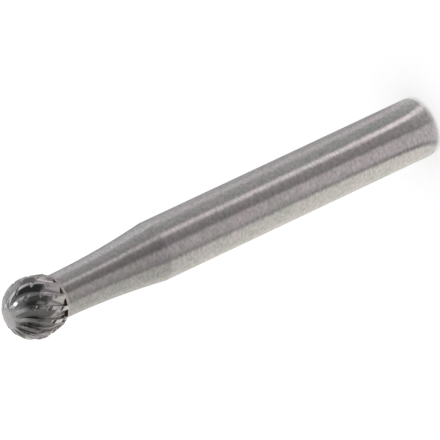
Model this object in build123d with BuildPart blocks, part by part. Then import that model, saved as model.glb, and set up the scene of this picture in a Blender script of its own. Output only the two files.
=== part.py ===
from build123d import *
from math import atan, cos, radians, sin, tan
import os

os.makedirs("parts", exist_ok=True)

# Driving dimensions in millimetres and degrees. The tool stands on the end of its shank,
# with its axis of rotation on Z and the nose of the ball on top.

# Steel shank
shank_diameter = 6.0
grip_length = 32.8  # from the end face to the shoulder
end_chamfer_depth = 0.4
end_chamfer_length = 0.5
neck_length = 11.8  # from the shoulder to the brazed face
neck_front_diameter = 4.38

# Braze between shank and head
braze_thickness = 0.15
braze_fillet = 0.27  # reach of the meniscus under the head and down the neck
braze_hollow = 0.06  # how far the meniscus curves in

# Carbide head, a ball with a short tapered back
ball_diameter = 6.1
head_length = 5.25
back_taper = 15.0  # half angle of the cone behind the ball

# Main flutes, right-hand helix, cutting clockwise seen from the shank
flute_count = 13
flute_helix = 24.5  # at the equator of the ball
flute_width = 1.07  # square to the flute, from the cutting edge to the next heel
flute_depth = 0.47
flute_root_width = 0.2
flute_face_lean = 18.0  # of the rake face, from the middle of the flute
flute_end_latitude = 72.0  # where the flutes run out towards the nose
flute_start_angle = -88.4  # round Z, where the first flute crosses the equator

# Chip breakers, shallow left-hand grooves across the teeth
breaker_count = 12
breaker_helix = -35.0
breaker_width = 0.34
breaker_depth = 0.16
breaker_root_width = 0.06
breaker_face_lean = 40.0
breaker_end_latitude = 60.0
breaker_start_angle = -102.6

# Grinding cutters
cutter_margin = 0.1  # how far a cutter stands out of the ball at its equator
cutter_overrun = 0.4  # how far a cutter passes each end of its groove
station_count = 11  # cross-sections along each cutter

# Heights, radii and angles that follow from them
shank_radius = shank_diameter / 2
neck_front_radius = neck_front_diameter / 2
shank_length = grip_length + neck_length
head_back = shank_length + braze_thickness
ball_radius = ball_diameter / 2
ball_centre = head_back + head_length - ball_radius
taper_angle = radians(back_taper)
taper_start_radius = ball_radius * cos(taper_angle)
taper_start_height = ball_centre - ball_radius * sin(taper_angle)
taper_height = taper_start_height - head_back
back_radius = taper_start_radius - taper_height * tan(taper_angle)


def groove_station(run, helix):
    """A point on a helical groove, at a distance from the start of the taper measured along the
    head's profile towards the nose. Gives a plane square to the groove there, with x in the
    cutting direction and y outward, the latitude, and the grooves' spacing as a share of their
    spacing at the equator."""
    latitude = max(run, 0) / ball_radius - taper_angle
    behind = max(-run, 0)
    radius = ball_radius * cos(latitude) - behind * sin(taper_angle)
    height = ball_radius * sin(latitude) - behind * cos(taper_angle)
    lead = tan(radians(helix)) / ball_radius
    turn = lead * height
    slant = lead * radius * cos(latitude)

    around = Vector(cos(turn), sin(turn), 0)
    outward = around * cos(latitude) + Vector(0, 0, sin(latitude))
    north = Vector(0, 0, cos(latitude)) - around * sin(latitude)
    east = Vector(-sin(turn), cos(turn), 0)
    along = (north + east * slant).normalized()

    origin = around * radius + Vector(0, 0, ball_centre + height)
    plane = Plane(origin=origin, x_dir=along.cross(outward), z_dir=-along)
    spacing = radius / ball_radius * cos(atan(slant)) / cos(radians(helix))
    return plane, latitude, spacing


def groove_cutter(helix, width, depth, root_width, face_lean, end_latitude):
    """The body that one grinding pass removes: a lopsided V that fades out towards the nose."""
    fade = cos(radians(end_latitude))
    nose_run = ball_radius * (radians(end_latitude) + taper_angle) + cutter_overrun
    back_run = -taper_height / cos(taper_angle) - cutter_overrun
    step = (nose_run - back_run) / (station_count - 1)

    face_slope = tan(radians(face_lean))
    root_x = depth * face_slope - width / 2
    heel_slope = (width / 2 - root_x - root_width) / depth

    with BuildSketch() as section:
        with BuildLine():
            Polyline(
                (-width / 2 - cutter_margin * face_slope, cutter_margin),
                (root_x, -depth),
                (root_x + root_width, -depth),
                (width / 2 + cutter_margin * heel_slope, cutter_margin),
                close=True,
            )
        make_face()

    with BuildPart() as cutter:
        for index in range(station_count):
            plane, latitude, size = groove_station(nose_run - step * index, helix)
            lift = depth * fade * (1 - cos(max(latitude, 0))) / (1 - fade)
            with BuildSketch(plane.moved(Location(plane.y_dir * lift))):
                add(section.sketch)
                scale(by=size)
        loft()
    return cutter.part


with BuildPart() as shank:
    with BuildSketch(Plane.XZ):
        with BuildLine():
            Polyline(
                (neck_front_radius, shank_length),
                (0, shank_length),
                (0, 0),
                (shank_radius - end_chamfer_depth, 0),
                (shank_radius, end_chamfer_length),
                (shank_radius, grip_length),
            )
            TangentArc((neck_front_radius, shank_length), (shank_radius, grip_length), tangent=(0, -1))
        make_face()
    revolve(axis=Axis.Z)
shank.part.label = "shank"

with BuildPart() as braze_joint:
    meniscus_foot = (neck_front_radius, shank_length - braze_fillet)
    meniscus_rim = (neck_front_radius + braze_fillet, head_back)
    with BuildSketch(Plane.XZ):
        with BuildLine():
            Polyline(meniscus_rim, (0, head_back), (0, meniscus_foot[1]), meniscus_foot)
            SagittaArc(meniscus_foot, meniscus_rim, braze_hollow)
        make_face()
    revolve(axis=Axis.Z)
    add(shank.part, mode=Mode.SUBTRACT)
braze_joint.part.label = "braze_joint"

flute = groove_cutter(
    flute_helix, flute_width, flute_depth, flute_root_width, flute_face_lean, flute_end_latitude
)
breaker = groove_cutter(
    breaker_helix, breaker_width, breaker_depth, breaker_root_width, breaker_face_lean, breaker_end_latitude
)

with BuildPart() as carbide_head:
    with BuildSketch(Plane.XZ):
        with BuildLine():
            Polyline(
                (0, head_back + head_length),
                (0, head_back),
                (back_radius, head_back),
                (taper_start_radius, taper_start_height),
            )
            CenterArc((0, ball_centre), ball_radius, -back_taper, 90 + back_taper)
        make_face()
    revolve(axis=Axis.Z)
    with PolarLocations(0, flute_count, start_angle=flute_start_angle):
        add(flute, mode=Mode.SUBTRACT)
    with PolarLocations(0, breaker_count, start_angle=breaker_start_angle):
        add(breaker, mode=Mode.SUBTRACT)
carbide_head.part.label = "carbide_head"

for piece in (shank, braze_joint, carbide_head):
    export_step(piece.part, f"parts/{piece.part.label}.step")
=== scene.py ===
"""Ball-nosed carbide burr, dressed for its portrait: finer meshes over the CAD solids, ground
steel, braze and carbide finishes, shade painted into the carbide's flutes, a pale floor and a
soft light tent."""

from math import atan, cos, pi, radians, sin, tan

import bpy
import numpy as np
from mathutils import Matrix, Vector


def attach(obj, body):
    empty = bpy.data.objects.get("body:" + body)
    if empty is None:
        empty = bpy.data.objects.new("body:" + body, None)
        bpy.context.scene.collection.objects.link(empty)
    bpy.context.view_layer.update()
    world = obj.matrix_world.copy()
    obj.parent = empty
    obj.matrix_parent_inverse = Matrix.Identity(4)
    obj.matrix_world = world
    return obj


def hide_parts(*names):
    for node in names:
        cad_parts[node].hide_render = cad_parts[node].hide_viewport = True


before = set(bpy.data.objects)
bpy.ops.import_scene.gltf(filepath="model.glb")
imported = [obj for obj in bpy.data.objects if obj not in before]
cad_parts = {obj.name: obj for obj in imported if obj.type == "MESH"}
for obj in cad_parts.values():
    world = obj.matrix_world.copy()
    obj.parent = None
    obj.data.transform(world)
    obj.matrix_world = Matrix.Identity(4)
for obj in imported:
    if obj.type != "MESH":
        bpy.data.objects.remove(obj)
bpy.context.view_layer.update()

MM = 0.001

# ---------------------------------------------------------------- sizes, in millimetres
SHANK_RADIUS = 3.0
GRIP_LENGTH = 32.8
NECK_LENGTH = 11.8
NECK_RADIUS = 2.19
CHAMFER_DEPTH, CHAMFER_LENGTH = 0.4, 0.5
EDGE_EASE = 0.05  # rounding of the shank's turned edges
BRAZE_THICKNESS, BRAZE_FILLET, BRAZE_HOLLOW = 0.15, 0.27, 0.06
BALL_RADIUS = 3.05
HEAD_LENGTH = 5.25
TAPER = radians(15.0)

SHANK_LENGTH = GRIP_LENGTH + NECK_LENGTH
HEAD_BACK = SHANK_LENGTH + BRAZE_THICKNESS
BALL_CENTRE = HEAD_BACK + HEAD_LENGTH - BALL_RADIUS
TAPER_HEIGHT = BALL_CENTRE - BALL_RADIUS * sin(TAPER) - HEAD_BACK
TAPER_RUN = TAPER_HEIGHT / cos(TAPER)
NOSE_RUN = BALL_RADIUS * (pi / 2 + TAPER)


# ---------------------------------------------------------------- meshes
def new_piece(name, vertices, faces, material, smooth_under=35.0):
    mesh = bpy.data.meshes.new(name)
    mesh.from_pydata([tuple(v) for v in vertices], [], faces)
    mesh.validate()
    mesh.shade_smooth()
    mesh.set_sharp_from_angle(angle=radians(smooth_under))
    mesh.materials.append(material)
    piece = bpy.data.objects.new(name, mesh)
    bpy.context.collection.objects.link(piece)
    return piece


def arc_points(start, centre, angle, count):
    """Points on the arc from start round centre, in the (radius, height) plane."""
    start, centre = np.array(start), np.array(centre)
    out = []
    for step in range(count + 1):
        turn = angle * step / count
        c, s = cos(turn), sin(turn)
        dx, dz = start - centre
        out.append((centre[0] + c * dx - s * dz, centre[1] + s * dx + c * dz))
    return out


def rounded(corners, radius, count=4):
    """The polyline through corners, with each inner corner eased by a small arc."""
    out = [corners[0]]
    for before, here, after in zip(corners, corners[1:], corners[2:]):
        before, here, after = map(np.array, (before, here, after))
        a, b = before - here, after - here
        reach = min(radius, np.linalg.norm(a) / 2, np.linalg.norm(b) / 2)
        p = here + a / np.linalg.norm(a) * reach
        q = here + b / np.linalg.norm(b) * reach
        for step in range(count + 1):
            t = step / count
            out.append(tuple((1 - t) ** 2 * p + 2 * t * (1 - t) * here + t * t * q))
    out.append(corners[-1])
    return out


def lathe(name, profile, material, segments=192, smooth_under=35.0):
    """A surface of revolution round Z, from (radius, height) points of its profile."""
    angles = 2 * pi * np.arange(segments) / segments
    vertices, faces, rings = [], [], []
    for r, z in profile:
        if r < 1e-9:
            rings.append([len(vertices)])
            vertices.append((0.0, 0.0, z * MM))
        else:
            rings.append(list(range(len(vertices), len(vertices) + segments)))
            vertices += [(r * cos(a) * MM, r * sin(a) * MM, z * MM) for a in angles]
    for low, high in zip(rings, rings[1:]):
        for i in range(segments):
            j = (i + 1) % segments
            if len(low) == 1:
                faces.append((low[0], high[j], high[i]))
            elif len(high) == 1:
                faces.append((low[i], low[j], high[0]))
            else:
                faces.append((low[i], low[j], high[j], high[i]))
    return new_piece(name, vertices, faces, material, smooth_under)


# ---------------------------------------------------------------- the fluted head
class Grooves:
    """One set of helical grooves, laid out as in the CAD head."""

    def __init__(self, count, helix, width, depth, root_width, face_lean, end, start):
        self.count, self.start, self.depth = count, radians(start), depth
        self.lead = tan(radians(helix)) / BALL_RADIUS
        self.straight = cos(radians(helix))
        self.half = width / 2
        self.face = tan(radians(face_lean))
        self.root_x = depth * self.face - self.half
        self.root_end = self.root_x + root_width
        self.heel = (self.half - self.root_end) / depth
        self.fade = cos(radians(end))

    def cut(self, latitude, radius, height, azimuth, blend):
        """How deep the grooves reach under points of the plain surface, along its normal."""
        slant = self.lead * radius * np.cos(latitude)
        size = radius / BALL_RADIUS * np.cos(np.arctan(slant)) / self.straight
        lift = self.depth * self.fade * (1 - np.cos(np.maximum(latitude, 0))) / (1 - self.fade)
        pitch = 2 * pi / self.count
        turn = azimuth - self.start - self.lead * height
        turn = turn - pitch * np.round(turn / pitch)
        x = turn * radius * np.cos(np.arctan(slant))
        bend = x / BALL_RADIUS
        px, py = BALL_RADIUS * np.sin(bend), BALL_RADIUS * (np.cos(bend) - 1) - lift
        dx, dy = -np.sin(bend), -np.cos(bend)
        # inside is a positive distance from each wall; the ray leaves through the nearest
        walls = (
            (1.0, self.face, -self.half * size),
            (-1.0, self.heel, -self.half * size),
            (0.0, 1.0, -self.depth * size),
        )
        reach = []
        for wx, wy, offset in walls:
            inside = wx * px + wy * py - offset
            leaving = -(wx * dx + wy * dy)
            reach.append(inside / np.maximum(leaving, 1e-6))
        return smooth_least(reach, blend * size)


def smooth_least(values, width):
    """The least of several arrays, with their crossings rounded over width."""
    out = values[0]
    for other in values[1:]:
        mix = np.clip(0.5 + 0.5 * (other - out) / width, 0, 1)
        out = other * (1 - mix) + out * mix - width * mix * (1 - mix)
    return out


# The flutes are slightly shallower than the CAD head's and have rounded gullets
FLUTES = Grooves(
    count=13, helix=24.5, width=1.07, depth=0.43, root_width=0.2, face_lean=18.0, end=72.0,
    start=-88.4,
)
BREAKERS = Grooves(
    count=12, helix=-35.0, width=0.34, depth=0.16, root_width=0.06, face_lean=40.0, end=60.0,
    start=-102.6,
)
FLUTE_ROUNDING, BREAKER_ROUNDING = 0.20, 0.06  # of the corners between a groove's walls
FLUTE_PITCH = 2 * pi * BALL_RADIUS * FLUTES.straight / FLUTES.count
ROWS = 150
BACK_RING = 1.2  # radius of the ring of points in the head's flat back
# where each flute's columns stand, as (distance from its middle, columns from there on)
COLUMN_RUNS = ((-0.575, 14), (-0.22, 15), (0.42, 5), (0.56, 6))


def flute_columns():
    """Azimuths of the columns at the equator's height: close together where the section bends."""
    stops = [start for start, _ in COLUMN_RUNS] + [COLUMN_RUNS[0][0] + FLUTE_PITCH]
    across = []
    for (start, count), end in zip(COLUMN_RUNS, stops[1:]):
        across += [start + (end - start) * i / count for i in range(count)]
    pitch = 2 * pi / FLUTES.count
    one = np.array(across) / FLUTE_PITCH * pitch
    return np.concatenate([FLUTES.start + pitch * k + one for k in range(FLUTES.count)])


def head_surface():
    """Points, cut depths and grind coordinates of the head, row by row from nose to back."""
    columns = flute_columns()
    runs = NOSE_RUN - (NOSE_RUN + TAPER_RUN) * (np.arange(1, ROWS + 1) / ROWS)
    run = runs[:, None]
    latitude = np.maximum(run, 0) / BALL_RADIUS - TAPER
    behind = np.maximum(-run, 0)
    radius = BALL_RADIUS * np.cos(latitude) - behind * sin(TAPER)
    height = BALL_RADIUS * np.sin(latitude) - behind * cos(TAPER)
    azimuth = columns[None, :] + FLUTES.lead * height
    flute = FLUTES.cut(latitude, radius, height, azimuth, FLUTE_ROUNDING)
    breaker = BREAKERS.cut(latitude, radius, height, azimuth, BREAKER_ROUNDING)
    flute, breaker = np.maximum(flute, 0), np.maximum(breaker, 0)
    depth = np.maximum(flute, breaker)
    lean = np.maximum(latitude, 0)  # inward along the normal, level behind the equator
    inward = depth / np.cos(lean - latitude)
    r = radius - inward * np.cos(lean)
    z = BALL_CENTRE + height - inward * np.sin(lean)
    points = np.stack([r * np.cos(azimuth), r * np.sin(azimuth), z], axis=-1)
    across = columns[None, :] * radius
    along = np.broadcast_to(run, depth.shape)
    return points, depth, across, along


def carbide_head(material):
    points, depth, across, along = head_surface()
    rows, columns = depth.shape
    flat = points.reshape(-1, 3)
    nose = len(flat)
    ring = points[-1].copy()
    ring[:, :2] *= BACK_RING / np.linalg.norm(ring[:, :2], axis=1)[:, None]
    vertices = np.concatenate([
        flat,
        [(0, 0, BALL_CENTRE + BALL_RADIUS)],
        ring,
        [(0, 0, HEAD_BACK)],
    ]) * MM
    first_inner, middle = nose + 1, nose + 1 + columns
    faces = []
    for c in range(columns):
        n = (c + 1) % columns
        faces.append((nose, c, n))
        for r in range(rows - 1):
            a, b = r * columns, (r + 1) * columns
            faces.append((a + c, b + c, b + n, a + n))
        last = (rows - 1) * columns
        faces.append((last + c, first_inner + c, first_inner + n, last + n))
        faces.append((first_inner + c, middle, first_inner + n))
    head = new_piece("burr_head", vertices, faces, material, smooth_under=40.0)
    extra = len(vertices) - len(flat)
    # cut is the groove depth, which the carbide material turns into painted shade in the flutes;
    # across and along place its grind streaks
    for name, values in (("cut", depth / FLUTES.depth), ("across", across), ("along", along)):
        layer = head.data.attributes.new(name, "FLOAT", "POINT")
        data = np.concatenate([values.reshape(-1), np.zeros(extra)])
        layer.data.foreach_set("value", data.astype(np.float32))
    return head


# ---------------------------------------------------------------- finishes, and shade painted into the carbide's flutes
def nodes_of(name):
    material = bpy.data.materials.new(name)
    material.use_nodes = True
    tree = material.node_tree
    return material, tree, tree.nodes["Principled BSDF"]


def add(tree, kind, **values):
    """A node with its properties and inputs set by name; spaces in names are underscores."""
    node = tree.nodes.new(kind)
    for key, value in values.items():
        if hasattr(node, key):
            setattr(node, key, value)
        else:
            node.inputs[key.replace("_", " ")].default_value = value
    return node


def ramp(tree, factor, stops):
    """A colour ramp. Its stops are (place, colour), in rising order."""
    node = tree.nodes.new("ShaderNodeValToRGB")
    elements = node.color_ramp.elements
    for element, (place, colour) in zip(elements, (stops[0], stops[-1])):
        element.position = place
        element.color = (*colour, 1.0)
    for place, colour in stops[1:-1]:
        elements.new(place).color = (*colour, 1.0)
    tree.links.new(factor, node.inputs["Fac"])
    return node


def ground_steel():
    material, tree, shader = nodes_of("ground_steel")
    link = tree.links.new
    shader.inputs["Metallic"].default_value = 1.0
    shader.inputs["Anisotropic"].default_value = 0.9
    shader.inputs["Anisotropic Rotation"].default_value = 0.25
    tangent = add(tree, "ShaderNodeTangent", direction_type="RADIAL", axis="Z")
    link(tangent.outputs["Tangent"], shader.inputs["Tangent"])
    place = add(tree, "ShaderNodeTexCoord")
    stretch = add(tree, "ShaderNodeMapping")
    stretch.inputs["Scale"].default_value = (300, 300, 9000)
    link(place.outputs["Object"], stretch.inputs["Vector"])
    lines = add(tree, "ShaderNodeTexNoise", Scale=1.0, Detail=4.0)
    link(stretch.outputs["Vector"], lines.inputs["Vector"])
    short = add(tree, "ShaderNodeMapping")
    short.inputs["Scale"].default_value = (2600, 2600, 4500)
    link(place.outputs["Object"], short.inputs["Vector"])
    grind = add(tree, "ShaderNodeTexNoise", Scale=1.0, Detail=3.0)
    link(short.outputs["Vector"], grind.inputs["Vector"])
    mottle = add(tree, "ShaderNodeTexNoise", Scale=500.0, Detail=5.0)
    link(place.outputs["Object"], mottle.inputs["Vector"])
    shade = ramp(tree, grind.outputs["Fac"], (
        (0.3, (0.46, 0.45, 0.44)), (0.7, (0.68, 0.67, 0.66)),
    ))
    tint = ramp(tree, mottle.outputs["Fac"], (
        (0.35, (1.02, 0.98, 1.01)), (0.65, (0.98, 1.01, 0.98)),
    ))
    colour = add(tree, "ShaderNodeMixRGB", blend_type="MULTIPLY", Fac=1.0)
    link(shade.outputs["Color"], colour.inputs["Color1"])
    link(tint.outputs["Color"], colour.inputs["Color2"])
    link(colour.outputs["Color"], shader.inputs["Base Color"])
    rough = add(tree, "ShaderNodeMapRange", To_Min=0.30, To_Max=0.42)
    link(mottle.outputs["Fac"], rough.inputs["Value"])
    link(rough.outputs["Result"], shader.inputs["Roughness"])
    bump = add(tree, "ShaderNodeBump", Strength=0.15, Distance=0.00002)
    link(lines.outputs["Fac"], bump.inputs["Height"])
    link(bump.outputs["Normal"], shader.inputs["Normal"])
    return material


def silver_braze():
    material, tree, shader = nodes_of("silver_braze")
    link = tree.links.new
    shader.inputs["Metallic"].default_value = 1.0
    place = add(tree, "ShaderNodeTexCoord")
    grain = add(tree, "ShaderNodeTexNoise", Scale=2500.0, Detail=4.0)
    link(place.outputs["Object"], grain.inputs["Vector"])
    colour = ramp(tree, grain.outputs["Fac"], (
        (0.35, (0.44, 0.41, 0.37)), (0.65, (0.70, 0.66, 0.60)),
    ))
    link(colour.outputs["Color"], shader.inputs["Base Color"])
    rough = add(tree, "ShaderNodeMapRange", To_Min=0.45, To_Max=0.60)
    link(grain.outputs["Fac"], rough.inputs["Value"])
    link(rough.outputs["Result"], shader.inputs["Roughness"])
    bump = add(tree, "ShaderNodeBump", Strength=0.3, Distance=0.00002)
    link(grain.outputs["Fac"], bump.inputs["Height"])
    link(bump.outputs["Normal"], shader.inputs["Normal"])
    return material


def tungsten_carbide():
    material, tree, shader = nodes_of("tungsten_carbide")
    link = tree.links.new
    shader.inputs["Metallic"].default_value = 1.0
    across = add(tree, "ShaderNodeAttribute", attribute_name="across")
    along = add(tree, "ShaderNodeAttribute", attribute_name="along")
    cut = add(tree, "ShaderNodeAttribute", attribute_name="cut")
    place = add(tree, "ShaderNodeCombineXYZ")
    link(across.outputs["Fac"], place.inputs["X"])
    link(along.outputs["Fac"], place.inputs["Y"])
    stretch = add(tree, "ShaderNodeMapping")
    stretch.inputs["Scale"].default_value = (22, 1.5, 1)
    link(place.outputs["Vector"], stretch.inputs["Vector"])
    lines = add(tree, "ShaderNodeTexNoise", Scale=1.0, Detail=4.0)
    link(stretch.outputs["Vector"], lines.inputs["Vector"])
    # painted shade: the carbide's colour darkens from the lands down into the flutes, deepest in
    # the gullets where shade falls
    shade = ramp(tree, cut.outputs["Fac"], (
        (0.0, (0.50, 0.50, 0.50)), (0.2, (0.43, 0.43, 0.43)), (1.0, (0.34, 0.34, 0.34)),
    ))
    streaks = ramp(tree, lines.outputs["Fac"], (
        (0.3, (0.84, 0.82, 0.80)), (0.7, (1.14, 1.12, 1.12)),
    ))
    colour = add(tree, "ShaderNodeMixRGB", blend_type="MULTIPLY", Fac=1.0)
    link(shade.outputs["Color"], colour.inputs["Color1"])
    link(streaks.outputs["Color"], colour.inputs["Color2"])
    link(colour.outputs["Color"], shader.inputs["Base Color"])
    rough = add(tree, "ShaderNodeMapRange", To_Min=0.08, To_Max=0.20)
    link(lines.outputs["Fac"], rough.inputs["Value"])
    link(rough.outputs["Result"], shader.inputs["Roughness"])
    bump = add(tree, "ShaderNodeBump", Strength=0.25, Distance=0.00002)
    link(lines.outputs["Fac"], bump.inputs["Height"])
    link(bump.outputs["Normal"], shader.inputs["Normal"])
    return material


# ---------------------------------------------------------------- the object
def shank_piece(material):
    half_chord = (NECK_LENGTH ** 2 + (SHANK_RADIUS - NECK_RADIUS) ** 2) / 2
    neck_arc_radius = half_chord / (SHANK_RADIUS - NECK_RADIUS)
    centre = (NECK_RADIUS + neck_arc_radius, SHANK_LENGTH)
    sweep = atan(NECK_LENGTH / (neck_arc_radius - SHANK_RADIUS + NECK_RADIUS))
    corners = [
        (0, 0),
        (SHANK_RADIUS - CHAMFER_DEPTH, 0),
        (SHANK_RADIUS, CHAMFER_LENGTH),
        (SHANK_RADIUS, GRIP_LENGTH),
    ]
    neck = arc_points((NECK_RADIUS, SHANK_LENGTH), centre, sweep, 32)[::-1]
    profile = rounded(corners + neck[1:2], EDGE_EASE)[:-1] + neck[1:] + [(0, SHANK_LENGTH)]
    return lathe("steel_shank", profile, material)


def braze_piece(material):
    foot = np.array((NECK_RADIUS, SHANK_LENGTH - BRAZE_FILLET))
    rim = np.array((NECK_RADIUS + BRAZE_FILLET, HEAD_BACK))
    chord = rim - foot
    out = np.array((chord[1], -chord[0])) / np.linalg.norm(chord)
    curve = []
    for step in range(13):
        t = step / 12
        curve.append(tuple(foot + chord * t - out * BRAZE_HOLLOW * 4 * t * (1 - t)))
    profile = [(0, SHANK_LENGTH), (NECK_RADIUS, SHANK_LENGTH)] + curve + [(0, HEAD_BACK)]
    return lathe("braze_ring", profile, material)


for piece, node, slot in (
    (shank_piece(ground_steel()), "shank", "ground_steel"),
    (braze_piece(silver_braze()), "braze_joint", "silver_braze"),
    (carbide_head(tungsten_carbide()), "carbide_head", "tungsten_carbide"),
):
    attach(piece, "root")
    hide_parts(node)


# ---------------------------------------------------------------- floor, light and camera
def seen_background(tree):
    """1 for the rays that show the background: camera, mirror and see-through ones."""
    path = tree.nodes.new("ShaderNodeLightPath")
    total = path.outputs["Is Camera Ray"]
    for name in ("Is Glossy Ray", "Is Transmission Ray"):
        most = add(tree, "ShaderNodeMath", operation="MAXIMUM")
        tree.links.new(total, most.inputs[0])
        tree.links.new(path.outputs[name], most.inputs[1])
        total = most.outputs[0]
    return total


FLOOR_HALF = 2.0  # metres
FLOOR_COLOUR = (0.9, 0.9, 0.9, 1)
FLOOR_LIFT = 0.35  # glow of the floor for the rays that show the background


def pale_floor():
    half = FLOOR_HALF
    mesh = bpy.data.meshes.new("floor")
    mesh.from_pydata([(-half, -half, 0), (half, -half, 0), (half, half, 0), (-half, half, 0)],
                     [], [(0, 1, 2, 3)])
    material, tree, shader = nodes_of("pale_floor")
    shader.inputs["Base Color"].default_value = FLOOR_COLOUR
    shader.inputs["Roughness"].default_value = 0.8
    shader.inputs["Specular IOR Level"].default_value = 0.0
    shader.inputs["Emission Color"].default_value = (1, 1, 1, 1)
    lift = add(tree, "ShaderNodeMath", operation="MULTIPLY")
    tree.links.new(seen_background(tree), lift.inputs[0])
    lift.inputs[1].default_value = FLOOR_LIFT
    tree.links.new(lift.outputs[0], shader.inputs["Emission Strength"])
    mesh.materials.append(material)
    floor = bpy.data.objects.new("floor", mesh)
    bpy.context.collection.objects.link(floor)


def softbox(name, azimuth, elevation, distance, width, height, level):
    """An area lamp facing the part. Level is the brightness of its face, 1 being white."""
    lamp = bpy.data.lights.new(name, "AREA")
    lamp.shape = "RECTANGLE"
    lamp.size, lamp.size_y = width, height
    lamp.energy = level * pi * width * height
    light = bpy.data.objects.new(name, lamp)
    a, e = radians(azimuth), radians(elevation)
    direction = Vector((sin(a) * cos(e), -cos(a) * cos(e), sin(e)))
    target = Vector((0, 0, 0.025))  # the middle of the part
    light.location = target + direction * distance
    light.rotation_euler = direction.to_track_quat("Z", "Y").to_euler()
    bpy.context.collection.objects.link(light)
    return light


WORLD_LIGHT, WORLD_SEEN = 0.5, 1.0  # what the world gives as light, and what it shows


def studio():
    world = bpy.context.scene.world or bpy.data.worlds.new("studio")
    bpy.context.scene.world = world
    world.use_nodes = True
    tree = world.node_tree
    background = tree.nodes["Background"]
    background.inputs["Color"].default_value = (1, 1, 1, 1)
    level = add(tree, "ShaderNodeMapRange", To_Min=WORLD_LIGHT, To_Max=WORLD_SEEN)
    tree.links.new(seen_background(tree), level.inputs["Value"])
    tree.links.new(level.outputs["Result"], background.inputs["Strength"])
    overhead = softbox(
        "overhead", azimuth=0, elevation=85, distance=0.9, width=0.8, height=0.8, level=1.5
    )
    overhead.visible_glossy = False


# Tints of the tent's light
GREY, ROSE = (1.0, 1.0, 1.0), (1.05, 0.96, 0.99)
CREAM, BLUE = (1.04, 1.01, 0.95), (0.98, 0.98, 1.04)

# From just outside the foot of the shank, across the floor, up the wall and over the top
TENT_PROFILE = ((2.62, 0.02), (100, 0.05), (100, 170), (70, 215), (0, 235))
TENT_LEVEL = 0.28
CARD_EDGE = 8.0  # degrees over which a card fades out
# A range that passes 180 degrees of azimuth or 90 of elevation has no soft edge there
ALL_ROUND, FLOOR = (-200, 200), (-95, -25)
CARDS = (  # azimuths, elevations seen from the ball, level, tint; later ones cover earlier ones
    ((-200, -62), FLOOR, 1.10, CREAM),  # warm lower side of the shank
    ((-50, -5), FLOOR, 0.80, ROSE),  # its rose middle, with a dark line on each side
    ((4, 34), FLOOR, 0.42, ROSE),
    ((34, 48), FLOOR, 1.65, ROSE),  # its light line
    ((56, 200), FLOOR, 0.50, GREY),  # its cool upper side
    ((88, 112), FLOOR, 0.75, ROSE),
    (ALL_ROUND, (-95, -85.5), 1.00, GREY),  # the rim round the foot of the shank
    ((150, 215), (-20, 60), 0.80, GREY),  # light limb of the ball
    ((-215, -150), (-20, 60), 0.80, GREY),
    ((90, 132), (-22, 62), 1.00, BLUE),  # its cool cheek
    ((60, 84), (12, 45), 0.70, GREY),
    ((-54, -34), (-12, 36), 0.10, GREY),  # the dark flutes in its middle
    ((-34, 34), (-18, 44), 0.05, GREY),
    ((-30, -8), (-14, 12), 0.40, CREAM),
    ((-140, -112), (-20, 30), 0.65, CREAM),  # pale streaks on the flutes below
    (ALL_ROUND, (60, 95), 0.60, GREY),  # pale nose
)


def soft_range(tree, value, start, end):
    """1 inside a range of degrees and 0 outside it, with a soft step at both ends."""
    steps = []
    for place, low, high in ((start, 0.0, 1.0), (end, 1.0, 0.0)):
        step = add(tree, "ShaderNodeMapRange", interpolation_type="SMOOTHSTEP")
        step.inputs["From Min"].default_value = place - CARD_EDGE / 2
        step.inputs["From Max"].default_value = place + CARD_EDGE / 2
        step.inputs["To Min"].default_value, step.inputs["To Max"].default_value = low, high
        tree.links.new(value, step.inputs["Value"])
        steps.append(step.outputs["Result"])
    return product(tree, *steps)


def product(tree, first, second):
    node = add(tree, "ShaderNodeMath", operation="MULTIPLY")
    tree.links.new(first, node.inputs[0])
    tree.links.new(second, node.inputs[1])
    return node.outputs[0]


def degrees_of(tree, opposite, adjacent):
    """The angle whose tangent is opposite over adjacent, in degrees."""
    angle = add(tree, "ShaderNodeMath", operation="ARCTAN2")
    tree.links.new(opposite, angle.inputs[0])
    tree.links.new(adjacent, angle.inputs[1])
    node = add(tree, "ShaderNodeMath", operation="DEGREES")
    tree.links.new(angle.outputs[0], node.inputs[0])
    return node.outputs[0]


def tent_directions(tree):
    """Azimuth from the front and elevation, both seen from the ball, in degrees."""
    place = add(tree, "ShaderNodeTexCoord")
    from_ball = add(tree, "ShaderNodeVectorMath", operation="SUBTRACT")
    tree.links.new(place.outputs["Object"], from_ball.inputs[0])
    from_ball.inputs[1].default_value = (0, 0, BALL_CENTRE * MM)
    level = add(tree, "ShaderNodeVectorMath", operation="MULTIPLY")
    tree.links.new(from_ball.outputs[0], level.inputs[0])
    level.inputs[1].default_value = (1, -1, 0)
    reach = add(tree, "ShaderNodeVectorMath", operation="LENGTH")
    tree.links.new(level.outputs[0], reach.inputs[0])
    flat, split = add(tree, "ShaderNodeSeparateXYZ"), add(tree, "ShaderNodeSeparateXYZ")
    tree.links.new(level.outputs[0], flat.inputs[0])
    tree.links.new(from_ball.outputs[0], split.inputs[0])
    azimuth = degrees_of(tree, flat.outputs["X"], flat.outputs["Y"])
    return azimuth, degrees_of(tree, split.outputs["Z"], reach.outputs["Value"])


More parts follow.
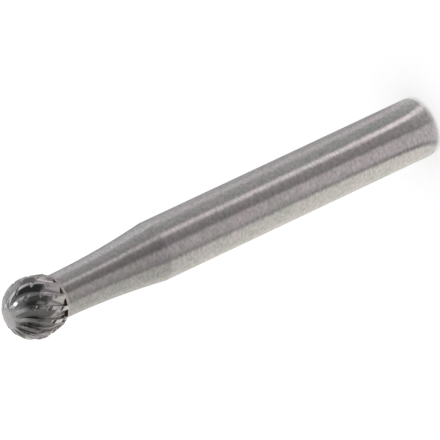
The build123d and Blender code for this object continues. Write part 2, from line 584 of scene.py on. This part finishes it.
def tent():
    """A dome round the part that holds light cards and shows only in reflections."""
    material, tree, shader = nodes_of("tent")
    link = tree.links.new
    tree.nodes.remove(shader)
    azimuth, elevation = tent_directions(tree)
    glow = tree.nodes.new("ShaderNodeEmission")
    shade = None
    for azimuths, elevations, level, tint in CARDS:
        mix = add(tree, "ShaderNodeMixRGB")
        inside = (soft_range(tree, azimuth, *azimuths), soft_range(tree, elevation, *elevations))
        link(product(tree, *inside), mix.inputs["Fac"])
        if shade is None:
            mix.inputs["Color1"].default_value = (TENT_LEVEL, TENT_LEVEL, TENT_LEVEL, 1)
        else:
            link(shade, mix.inputs["Color1"])
        mix.inputs["Color2"].default_value = (*[level * share for share in tint], 1)
        shade = mix.outputs["Color"]
    link(shade, glow.inputs["Color"])
    link(glow.outputs[0], tree.nodes["Material Output"].inputs["Surface"])

    reflections_only(lathe("tent", TENT_PROFILE, material, segments=96))


def reflections_only(sheet):
    for ray in ("camera", "diffuse", "transmission", "shadow", "volume_scatter"):
        setattr(sheet, "visible_" + ray, False)


WINDOW_AZIMUTHS, WINDOW_ELEVATIONS = (86, 108), (50.5, 60)
WINDOW_DISTANCE = 90.0
WINDOW_LEVEL = 4.0


def window():
    """The small bright window whose glint stands on the ball."""
    material, tree, shader = nodes_of("window")
    tree.nodes.remove(shader)
    glow = add(tree, "ShaderNodeEmission", Strength=WINDOW_LEVEL)
    tree.links.new(glow.outputs[0], tree.nodes["Material Output"].inputs["Surface"])
    corners = []
    for a, e in zip(WINDOW_AZIMUTHS + WINDOW_AZIMUTHS[::-1], np.repeat(WINDOW_ELEVATIONS, 2)):
        a, e = radians(a), radians(e)
        corners.append((
            WINDOW_DISTANCE * sin(a) * cos(e) * MM,
            -WINDOW_DISTANCE * cos(a) * cos(e) * MM,
            (BALL_CENTRE + WINDOW_DISTANCE * sin(e)) * MM,
        ))
    reflections_only(new_piece("window", corners, [(0, 1, 2, 3)], material))


CAMERA_VIEW, CAMERA_ELEVATION, CAMERA_ROLL = 2.35, 29.8, -115.2  # degrees
CAMERA_DISTANCE = 1.02  # metres
CAMERA_AIM = Vector((0.00001, 0, 0.02464))


def camera():
    data = bpy.data.cameras.new("camera")
    data.sensor_fit = "HORIZONTAL"
    data.angle = radians(CAMERA_VIEW)
    data.clip_start, data.clip_end = 0.01, 10
    view = bpy.data.objects.new("camera", data)
    elevation, roll = radians(CAMERA_ELEVATION), radians(CAMERA_ROLL)
    back = Vector((0, -cos(elevation), sin(elevation)))
    right = Vector((1, 0, 0))
    facing = Matrix((right, back.cross(right), back)).transposed()
    view.matrix_world = (
        Matrix.Translation(CAMERA_AIM + back * CAMERA_DISTANCE)
        @ facing.to_4x4() @ Matrix.Rotation(roll, 4, "Z")
    )
    bpy.context.collection.objects.link(view)
    bpy.context.scene.camera = view


pale_floor()
studio()
tent()
window()
camera()
bpy.context.scene.view_settings.view_transform = "Standard"
